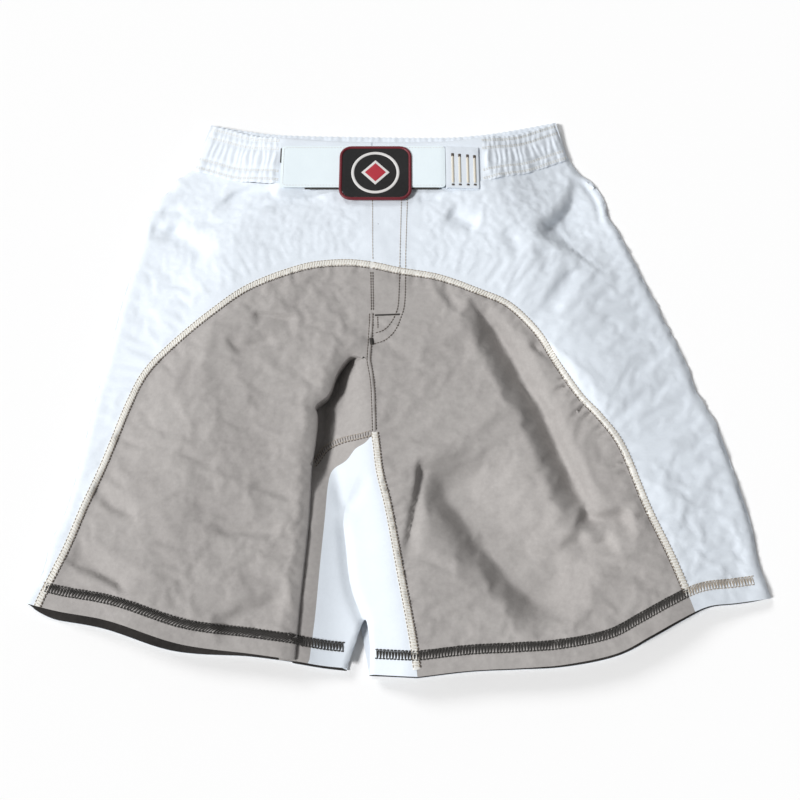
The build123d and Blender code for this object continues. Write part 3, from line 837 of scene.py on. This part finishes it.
def back_leg(side, outer, hem, seam, order):
    """One half of the back layer and the dark inside of its hem: black hem thread, with painted shade of the
    leg opening.
    """
    border = np.vstack([outer, hem[::order][1:], back_centre[::-1], seam[1:-1]])
    plan, faces = plan_mesh(border, [], BACK_GRAIN, SEED + 3)
    whole = np.ones(len(faces), bool)
    panel = part_of("back_" + side, slid(plan, back_height(plan)), faces, whole, white_cloth)
    share = np.linspace(0, 1, len(hem))
    taper = 0.05 + 0.95 * smooth(np.minimum(share, 1 - share), 0, 0.06)
    lines = [lowered(hem, -depth * taper) for depth in (0.3, 3, 7, HEM_INSIDE)]
    # A near-black strip under the front hem: the black thread inside the hem, with painted shade of the leg
    # opening.
    strip = grid_object("back_hem_" + side, [slid(row, back_height(row) + 0.35) for row in lines], hem_thread_and_shade)
    strip.modifiers.new("thickness", "SOLIDIFY").thickness = 0.3 * MM
    apply_modifiers(strip)
    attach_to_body(panel, "shorts")
    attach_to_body(strip, "shorts")
    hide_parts("back_panel_" + side)


back_leg("right", left_edge, back_hem_right, back_seam[: back_top_mid + 1][::-1], 1)
back_leg("left", right_edge, back_hem_left, back_seam[back_top_mid:], -1)

# ---- seams and stitches ----
tan_thread = thread_material("tan thread", (0.50, 0.44, 0.36), (0.30, 0.25, 0.20))
brown_thread = thread_material("brown thread", (0.13, 0.10, 0.08), (0.05, 0.038, 0.03))
seam_cloth = cloth_material("seam cloth", (0.84, 0.84, 0.81), (0.74, 0.72, 0.68), mottle=0.8)

front_tree = tree_of(
    front_panel_right, front_panel_left, side_right, side_left, crotch_patch, inner_right, inner_left
)


def cut(line, keep):
    """The points of a line for which keep is true."""
    return line[keep(line[:, 0], line[:, 1])]


SEAM = 6.8  # mm, width of a cover seam
NEEDLE = 2.5  # from its middle to each needle row


def cover_seam(name, line, dark_side, width=SEAM, needle=NEEDLE, body="shorts", cloth=None, thread=None):
    """A flat seam: the strip, two needle rows, the crossing thread and the dark edge beside it."""
    strip = ribbon(name, front_tree, line, width, 0.45, cloth or seam_cloth, body)
    sewn = (front_panel_right, front_panel_left, side_right, side_left, inner_right, inner_left)
    tree = tree_of(strip, *sewn)
    rows = dashes(line, needle, 2.6, 0.7) + dashes(line, -needle, 2.6, 0.7)
    threads(name + "_needle", tree, rows, 0.36, tan_thread, body)
    threads(name + "_cover", tree, rungs(line, needle, 2.4, 1.2), 0.3, thread or cream_thread, body)
    edge = dashes(line, dark_side * (width / 2 + 0.3), 2.4, 0.5)
    threads(name + "_edge", tree, edge, 0.38, brown_thread, body)
    return strip


arch_line = cut(arch, lambda x, y: (y > -214 + 0.02 * x))
arch_right = cut(arch_line, lambda x, y: x < -24)
arch_left = cut(arch_line, lambda x, y: x > -28)
arch_seam_right = cover_seam("arch_right", arch_right, -1)
arch_seam_left = cover_seam("arch_left", arch_left, -1, body="flap")
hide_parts("arch_seam_right")
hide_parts("arch_seam_left", "arch_seam_flap")
inseam_left = cover_seam("inseam_left", gusset_seam[:-2], 1)
patch_line = patch_seam[1:-5]
inseam_right = cover_seam("inseam_right", patch_line, 1, 6.0, 2.1, cloth=grey_cloth, thread=brown_thread)
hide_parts("inseam_seam_left")
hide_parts("inseam_seam_right")

# Hems: a ladder of dark thread over the turned edge.
HEM_DEPTH = 17.0
HEM_HALF = 3.6


def hem_threads(side, line):
    """The hem's needle rows and rungs, lighter where they cross white cloth."""
    pairs = rungs(line, HEM_HALF, 2.6, 0.6) + rungs(line, HEM_HALF, 2.6, -1.0)
    pairs += dashes(line, HEM_HALF, 2.8, 0.3) + dashes(line, -HEM_HALF, 2.8, 0.3)
    middles = np.array([(a + b) / 2 for a, b in pairs])
    over_grey = inside(middles, arch_area)
    dark = [pair for pair, grey in zip(pairs, over_grey) if grey]
    pale = [pair for pair, grey in zip(pairs, over_grey) if not grey]
    stitching = threads("hem_" + side + "_dark", front_tree, dark, 0.55, dark_thread)
    threads("hem_" + side + "_pale", front_tree, pale, 0.4, tan_thread)
    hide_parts("hem_stitching_" + side)


hem_threads("right", track(np.vstack([hem_right_leg, curve(HEM_GUSSET)[4:]]), HEM_DEPTH)[1][3:-1])
hem_threads("left", track(np.vstack([curve(HEM_LEFT_GUSSET), hem_left_leg[1:]]), HEM_DEPTH)[1][1:-3])

# Fly: the J of the facing, its bar, the opening's edge and the centre seam.
J_OUTER = curve([(9, 191), (7, 127), (6, 73), (2, 54), (-4, 40), (-13, 31), (-24, 27)])
J_INNER = curve([(3, 191), (1.5, 127), (0, 73), (-3, 58), (-8, 48), (-15, 41), (-24, 38)])
fly_rows = dashes(J_OUTER, 0, 2.4, 0.6) + dashes(J_INNER, 0, 2.4, 0.6)
fly_rows += dashes(curve([(-20, 56), (-19.5, 42)]), 0, 2.0, 0.5)
grey_rows = [(a, b) for a, b in fly_rows if inside(np.array([(a + b) / 2]), arch_area)[0]]
white_rows = [(a, b) for a, b in fly_rows if not inside(np.array([(a + b) / 2]), arch_area)[0]]
fly_dark = threads("fly_rows_dark", front_tree, grey_rows, 0.42, brown_thread)
threads("fly_rows_pale", front_tree, white_rows, 0.38, tan_thread)
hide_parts("fly_stitching")
# Rows along the free edge of the fly.
edge_dark = dashes(curve([(-25, 103), (-24, 60)]), 0, 2.4, 0.5)
edge_dark += dashes(curve([(-27, 103), (-26, 60)]), 0, 2.4, 0.5)
threads("fly_edge_dark", front_tree, edge_dark, 0.42, brown_thread, "flap")
edge_pale = dashes(curve([(-26, 190), (-25, 113)]), 0, 2.4, 0.6)
threads("fly_edge_pale", front_tree, edge_pale, 0.34, tan_thread, "flap")
bar_line = curve([(-23, 57), (2, 58)])
bar_pairs = rungs(bar_line, 0.9, 0.7, 0.2)
fly_bar = threads("fly_bar_threads", front_tree, bar_pairs, 0.42, dark_thread)
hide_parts("fly_bar")
low_centre = cut(centre_line, lambda x, y: y < 60)
centre_strip = ribbon("centre_strip", front_tree, low_centre, 4.2, 0.5, grey_cloth, "shorts", 5)
centre_tree = tree_of(centre_strip, front_panel_right, front_panel_left)
centre_pairs = dashes(low_centre, -1.5, 2.6, 0.3) + dashes(low_centre, 1.5, 2.4, 0.4)
centre_rows = threads("centre_rows", centre_tree, centre_pairs, 0.45, brown_thread)
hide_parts("centre_seam")
knot = rungs(curve([(-26, 34), (-25, 25)]), 2.4, 1.0, 0.4)
threads("fly_knot", front_tree, knot, 0.6, dark_thread)

# ---- waistband ----
BAND_TOP = [(-193, 272), (-155, 262), (-117, 252), (-50, 247), (42, 247), (84, 252.5), (105, 257)]
BAND_TOP += [(136, 266), (162, 275)]
BACK_TOP = [(-193, 272), (-153, 264), (-117, 260), (-50, 258), (42, 257), (84, 260), (120, 266), (162, 275)]
BAND_ROWS = [0.09, 0.27, 0.72, 0.90]
BAND_THICK = 2.0
BAND_ABOVE, BAND_CEILING = 1.0, 28.6  # above the front cloth, but below the closure tab
BAND_DROP, BAND_TURN = 1.2, 0.035  # the long edges turn down this much over this share of the width
GATHER = 6.4  # mm from ruffle to ruffle
ELASTIC_RIGHT, ELASTIC_LEFT = -119.0, 84.0
band_top, back_top = curve(BAND_TOP), curve(BACK_TOP)


def across(low_line, high_line, low_span, high_span, columns, rows):
    """A grid of plan points between two lines, and how far along and across each is."""
    low_x, high_x = np.linspace(*low_span, columns), np.linspace(*high_span, columns)
    low = np.column_stack([low_x, np.interp(low_x, low_line[:, 0], low_line[:, 1])])
    high = np.column_stack([high_x, np.interp(high_x, high_line[:, 0], high_line[:, 1])])
    v = np.linspace(0, 1, rows)[:, None, None]
    along = np.concatenate([[0], np.cumsum(np.linalg.norm(np.diff(low, axis=0), axis=1))])
    return low * (1 - v) + high * v, along[None, :], v[..., 0]


def gathers(along, v, seed, size):
    """Ruffles of the elastic, pinched flat at the stitched rows."""
    pinch = np.min([np.abs(v - row) for row in BAND_ROWS], axis=0)
    wander = np.array([[noise.noise(Vector((s / 11, w * 2.2, seed))) for s in along[0]] for w in v[:, 0]])
    ruffle = np.sin(2 * math.pi * along / GATHER + 4.0 * wander)
    body = 0.35 + 0.65 * smooth(pinch, 0.0, 0.12)
    return size * body * ruffle + 0.9 * smooth(pinch, 0.0, 0.1) + 0.8 * wander


def band_piece(
    name, low_span, high_span, gathered, seed, spacing=1.1, top=band_top, base=None, body="shorts"
):
    """A stretch of waistband as a grid with its own thickness."""
    columns = int(abs(high_span[1] - high_span[0]) / spacing) + 2
    plan, along, v = across(band_low, top, low_span, high_span, columns, 40)
    flat = plan.reshape(-1, 2)
    if base is None:
        z = np.minimum(upper_height(flat).reshape(plan.shape[:2]) + BAND_ABOVE, BAND_CEILING)
    else:
        z = base(plan, v)
    ends = smooth(along, 0, 6) * smooth(along[0, -1] - along, 0, 6)
    if gathered:
        z = z + gathers(along, v, seed, gathered) * ends
    z = z - BAND_DROP * (1 - smooth(v, 0, BAND_TURN)) - BAND_DROP * (1 - smooth(1 - v, 0, BAND_TURN))
    rows = slid(plan, z)
    if gathered:
        rows[..., 1] += (v > 0.999) * 0.5 * np.sin(2 * math.pi * along / GATHER)
    made = grid_object(name, rows, white_cloth)
    solid = made.modifiers.new("thickness", "SOLIDIFY")
    solid.thickness, solid.offset = BAND_THICK * MM, -1
    apply_modifiers(made)
    attach(made, body)
    return made


BAND_LOW = [(-235, 222), (-208, 218), (-161, 205), (-117, 197), (-59, 192), (52, 192), (124, 213)]
BAND_LOW += [(200, 240)]
band_low = curve(BAND_LOW)
FLY_END, FLY_GAP = -27.0, 0.4  # where the band's right and left ends meet, and half the gap there
right_of_fly, left_of_fly = (ELASTIC_RIGHT, FLY_END - FLY_GAP), (FLY_END + FLY_GAP, ELASTIC_LEFT)
band_right = band_piece("band_right", (-208, ELASTIC_RIGHT), (-193, ELASTIC_RIGHT), 0.5, 3)
band_left = band_piece("band_left", (ELASTIC_LEFT, 172), (ELASTIC_LEFT, 162), 0.5, 4)
band_flat_right = band_piece("band_flat_right", right_of_fly, right_of_fly, 0, 5, 3)
band_flat_left = band_piece("band_flat_left", left_of_fly, left_of_fly, 0, 6, 3, body="flap")


def back_band_height(plan, v):
    """The back of the band lies on the surface and lifts to its top edge."""
    edge = np.minimum(plan[..., 0] + 208, 172 - plan[..., 0])
    return 2.6 + 9.5 * smooth(v, 0.1, 1.0) * (0.35 + 0.65 * smooth(edge, 0, 90))


band_back = band_piece("band_back", (-208, 172), (-193, 162), 0.25, 8, 1.3, back_top, back_band_height)
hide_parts("waistband_front_right", "waist_elastic")
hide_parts("waistband_front_left")
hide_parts("waistband_back")

# Stitched rows along the waistband.
band_tree = tree_of(band_right, band_left, band_flat_right, band_flat_left)
for side, low_span, high_span in (
    ("right", (-207, ELASTIC_RIGHT), (-192, ELASTIC_RIGHT)),
    ("left", (ELASTIC_LEFT, 171), (ELASTIC_LEFT, 161)),
):
    plan, _, _ = across(band_low, band_top, low_span, high_span, 60, 101)
    for i, share in enumerate(BAND_ROWS):
        line = plan[int(share * 100)]
        pairs = dashes(line, 0, 2.0, 0.6) + dashes(line, -1.6 if i < 2 else 1.6, 2.0, 0.6)
        row = threads("band_row_%s_%d" % (side, i + 1), band_tree, pairs, 0.26, cream_thread)
        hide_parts("waistband_row_%s_%d" % (side, i + 1))

# ---- closure tab, badge, tapes and underlaps ----
def node_box(name):
    """Lowest and highest corner of a CAD node, in millimetres."""
    low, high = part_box(name)
    return [v / MM for v in low], [v / MM for v in high]


def rounded(low, high, radius, step=2.0):
    """Outline of a rounded rectangle."""
    points = []
    for cx, cy, start in (
        (high[0] - radius, high[1] - radius, 0),
        (low[0] + radius, high[1] - radius, 90),
        (low[0] + radius, low[1] + radius, 180),
        (high[0] - radius, low[1] + radius, 270),
    ):
        turns = np.radians(np.linspace(start, start + 90, 7))
        points.append(np.column_stack([cx + radius * np.cos(turns), cy + radius * np.sin(turns)]))
    ring = np.vstack(points + [points[0][:1]])
    out = [ring[:1]]
    for a, b in zip(ring[:-1], ring[1:]):
        count = max(1, round(np.linalg.norm(b - a) / step))
        out.append(a + (np.arange(1, count + 1) / count)[:, None] * (b - a))
    return np.vstack(out)[:-1]


def plate(name, outline, bottom, top, material, body, grain=2.5, edge=0.5, wave=0.0, seed=1, fall=0.0):
    """A flat soft piece with a rounded upper edge and a slightly uneven face."""
    plan, faces = plan_mesh(outline, [], grain, SEED + seed)
    ring = np.vstack([outline, outline[:1]])
    dist = nearest(plan, ring)[0]
    z = top - edge * (1 - smooth(dist, 0, grain * 0.8)) + wave * ripple(plan, 14, seed) * smooth(dist, 0, 4)
    z -= fall * (plan[:, 0] - plan[:, 0].min()) / np.ptp(plan[:, 0])
    made = mesh_object(name, np.column_stack([plan, np.minimum(z, top + 0.3)]), faces, material)
    solid = made.modifiers.new("thickness", "SOLIDIFY")
    solid.thickness, solid.offset = (top - bottom - edge * 0.5) * MM, -1
    apply_modifiers(made)
    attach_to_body(made, body)
    return made


SATIN_PITCH = 0.42  # mm from thread to thread


def satin(name, ring, height, width, base, material, body):
    """Satin stitch round a closed line: a crowned rib of fine threads side by side."""
    route = track(np.vstack([ring, ring[:1]]))
    where = np.arange(0, route[0][-1] - SATIN_PITCH / 4, SATIN_PITCH / 2)
    centre = at(route, where)
    ahead = at(route, (where + 0.4) % route[0][-1]) - at(route, (where - 0.4) % route[0][-1])
    ahead /= np.linalg.norm(ahead, axis=1, keepdims=True)
    side = np.column_stack([-ahead[:, 1], ahead[:, 0]])
    comb = np.where(np.arange(len(where)) % 2 == 0, 1.0, 0.82)
    rows = []
    for turn in np.linspace(0, math.pi, 9):
        reach, lift = math.cos(turn) * width / 2, math.sin(turn) ** 0.7 * height
        rows.append(np.column_stack([centre + side * reach, base + lift * comb]))
    rows.append(np.column_stack([centre - side * width * 0.4, np.full(len(where), base - 0.05)]))
    rows.append(np.column_stack([centre + side * width * 0.4, np.full(len(where), base - 0.05)]))
    rows.append(rows[0])
    made = grid_object(name, rows[::-1], material, close=True)
    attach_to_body(made, body)
    return made


tab_cloth = cloth_material("tab cloth", (0.84, 0.93, 0.97), (0.81, 0.90, 0.945), 0.7, 0.8, 0.2)
hook_tape = cloth_material("hook tape", (0.10, 0.10, 0.10), (0.02, 0.02, 0.02), 0.5, 1.6, 0.7)
loop_tape = cloth_material("loop tape", (0.70, 0.71, 0.72), (0.50, 0.51, 0.53), 0.95, 0.9, 0.9, 0.5)
badge_black = cloth_material("badge black", (0.018, 0.017, 0.018), (0.006, 0.006, 0.006), 0.7, 0.9, 0.5)
badge_maroon = thread_material("badge maroon", (0.22, 0.012, 0.025), (0.10, 0.006, 0.012), 0.5)
badge_light = thread_material("badge light", (0.82, 0.81, 0.80), (0.62, 0.60, 0.59), 0.5)
badge_red = thread_material("badge red", (0.55, 0.03, 0.05), (0.32, 0.015, 0.03), 0.5)

tab_low, tab_high = node_box("closure_tab")
outline = rounded(tab_low, tab_high, 4.0)
tab = plate("tab", outline, tab_low[2], tab_high[2], tab_cloth, "closure_tab", 3.0, 0.4, 0.12, 2)
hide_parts("closure_tab")
low, high = node_box("tab_base")
TAB_FOOT_FALL = 2.6  # the foot thins out away from the tab
foot = rounded(low, high, 1.5)
base = plate("tab_foot", foot, low[2], high[2], white_cloth, "shorts", 3.0, 0.4, 0.1, 3, TAB_FOOT_FALL)
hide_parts("tab_base")
base_tree = tree_of(base)

TAB_MARGIN = 2.2  # from the tab's edge to its stitching
TAB_ON = 30.0  # the stitching's outline runs on past the tab's foot, where no stitch is made
edge_low = (tab_low[0] + TAB_MARGIN, tab_low[1] + TAB_MARGIN)
tab_edge = rounded(edge_low, (tab_high[0] + TAB_ON, tab_high[1] - TAB_MARGIN), 3.0)
tab_rows = [p for p in dashes(tab_edge, 0, 2.2, 0.8) if max(p[0][0], p[1][0]) < tab_high[0] - 0.5]
threads("tab_rows", tree_of(tab), tab_rows, 0.22, badge_light, "closure_tab")

# Bar tacks: dense upright rows with dark ends.
low, high = node_box("tab_bartacks")
for i, x in enumerate((54.0, 61.0, 69.0, 76.0)):
    top_y, low_y = high[1] - 0.4 * i, low[1] + 0.3 * i
    upright = np.column_stack([np.full(40, x), np.linspace(low_y + 3, top_y - 3, 40)])
    tack = threads("bartack_%d" % (i + 1), base_tree, rungs(upright, 1.35, 0.7, 0.1), 0.42, cream_thread)
    ends = [
        np.column_stack([np.full(8, x), np.linspace(top_y - 4.5, top_y, 8)]),
        np.column_stack([np.full(6, x), np.linspace(low_y, low_y + 2.6, 6)]),
    ]
    pairs = [pair for end in ends for pair in rungs(end, 1.5, 0.6, 0.0)]
    threads("bartack_end_%d" % (i + 1), base_tree, pairs, 0.42, brown_thread)
    if i == 0:
        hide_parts("tab_bartacks")

for name, cad_name, material, body in (
    ("hook_strip", "closure_hook_tape", hook_tape, "closure_tab"),
    ("loop_strip", "closure_loop_tape", loop_tape, "shorts"),
    ("fly_hook_strip", "fly_hook_tape", hook_tape, "fly_flap"),
    ("fly_loop_strip", "fly_loop_tape", loop_tape, "shorts"),
):
    low, high = node_box(cad_name)
    strip = plate(name, rounded(low, high, 1.2), low[2], high[2], material, body, 1.6, 0.3, 0.2, 5)
    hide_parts(cad_name)

# Dark strips that show beyond the tab's lower edge, in two places, and beyond its free end: painted shadow of
# the gap under the tab's edge, in part the edge of the black hook tape.
DARK_EDGE_OUT, DARK_EDGE_IN = 1.6, 2.0  # beyond the tab's edge, and under it
low_y, high_y = tab_low[1] - DARK_EDGE_OUT, tab_low[1] + DARK_EDGE_IN
tape_edge_and_shadow = [((x0, low_y), (x1, high_y)) for x0, x1 in ((-93.0, -60.0), (13.0, 40.0))]
low_x, high_x = tab_low[0] - DARK_EDGE_OUT, tab_low[0] + DARK_EDGE_IN
tape_edge_and_shadow.append(((low_x, tab_high[1] - 19), (high_x, tab_high[1] - 2)))
bottom, top = tab_low[2] - 0.7, tab_low[2] - 0.05
for i, corners in enumerate(tape_edge_and_shadow):
    outline = rounded(*corners, 1.0)
    plate("tab_tape_edge_and_shadow_%d" % (i + 1), outline, bottom, top, dark_thread, "closure_tab", 1.5, 0.2, 0, 6)

low, high = node_box("badge_backing")
outline = rounded(low, high, 10.0)
field = plate("badge_field", outline, low[2], high[2], badge_black, "closure_tab", 2.2, 0.1, 0.08, 7)
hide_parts("badge_backing")
low, high = node_box("badge_border")
rim_low, rim_high = (low[0] + 1.6, low[1] + 1.6), (high[0] - 1.6, high[1] - 1.6)
outline = rounded(rim_low, rim_high, 10.5)
rim = satin("badge_rim", outline, high[2] - low[2], 3.2, low[2], badge_maroon, "closure_tab")
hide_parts("badge_border")
low, high = node_box("badge_motif")
centre = np.array([(low[0] + high[0]) / 2, (low[1] + high[1]) / 2])
turns = np.radians(np.arange(0, 360, 4.0))
circle = centre + 22.5 * np.column_stack([np.cos(turns), np.sin(turns)])
motif = satin("badge_ring", circle, 0.6, 3.0, low[2] - 0.1, badge_light, "closure_tab")
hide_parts("badge_motif")
for name, radius, material, lift in (
    ("badge_diamond", 14.0, badge_light, 0.25),
    ("badge_gem", 10.5, badge_red, 0.5),
):
    corners = centre + radius * np.array([(1, 0), (0, 1), (-1, 0), (0, -1), (1, 0)])
    outline = np.vstack([curve([a, b], 1.5)[:-1] for a, b in zip(corners[:-1], corners[1:])])
    plate(name, outline, low[2], low[2] + lift + 0.2, material, "closure_tab", 1.5, 0.15, 0.05, 8)

# Underlaps behind the fly's edge.
UNDERLAP_HEIGHTS, BAND_UNDER_HEIGHTS = (26.5, 27.3), (24.9, 27.2)  # bottom and top
UNDERLAP = [(-45, 191), (-45, 80), (-28, 45), (4, 60), (16.5, 191)]
outline = np.vstack([curve([a, b], 3)[:-1] for a, b in zip(UNDERLAP, UNDERLAP[1:] + UNDERLAP[:1])])
underlap = plate("underlap", outline, *UNDERLAP_HEIGHTS, white_cloth, "shorts", 4.0, 0.2, 0.0, 9)
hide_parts("fly_underlap")
low, high = node_box("waistband_underlap")
outline = rounded(low, high, 2.0)
band_under = plate("band_underlap", outline, *BAND_UNDER_HEIGHTS, white_cloth, "shorts", 3.5, 0.4, 0.0, 10)
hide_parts("waistband_underlap")
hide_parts("waistband_fly_end")

# ---- stage ----
FLOOR_HALF, FLOOR_TOP = 15000, -1
floor_corners = [(x * FLOOR_HALF, y * FLOOR_HALF, FLOOR_TOP) for x, y in ((-1, -1), (1, -1), (1, 1), (-1, 1))]
floor = mesh_object("floor", floor_corners, [(0, 1, 2, 3)])
floor_material, _, floor_surface = shader("floor")
floor_surface.inputs["Base Color"].default_value = (0.97, 0.97, 0.97, 1)
floor_surface.inputs["Roughness"].default_value = 0.9
floor.data.materials.append(floor_material)

world = bpy.data.worlds.new("studio")
world.use_nodes = True
background = world.node_tree.nodes["Background"]
background.inputs["Color"].default_value = (1.0, 1.0, 1.0, 1)
background.inputs["Strength"].default_value = 0.23
bpy.context.scene.world = world
bpy.context.scene.view_settings.view_transform = "Standard"

for name, energy, heading, soft in (
    ("key", 3.0, (0.87, 0.38, -0.78), 12),
    ("top", 0.9, (0.60, -0.70, -0.75), 20),
):
    lamp = bpy.data.objects.new(name, bpy.data.lights.new(name, "SUN"))
    lamp.data.energy = energy
    lamp.data.angle = math.radians(soft)
    lamp.rotation_euler = Vector(heading).to_track_quat("-Z", "Y").to_euler()
    bpy.context.scene.collection.objects.link(lamp)

camera = bpy.data.objects.new("camera", bpy.data.cameras.new("camera"))
camera.location = EYE * MM
camera.rotation_euler = VIEW_DOWN.to_track_quat("-Z", "Y").to_euler()
camera.data.lens = VIEW_LENS
bpy.context.scene.collection.objects.link(camera)
bpy.context.scene.camera = camera
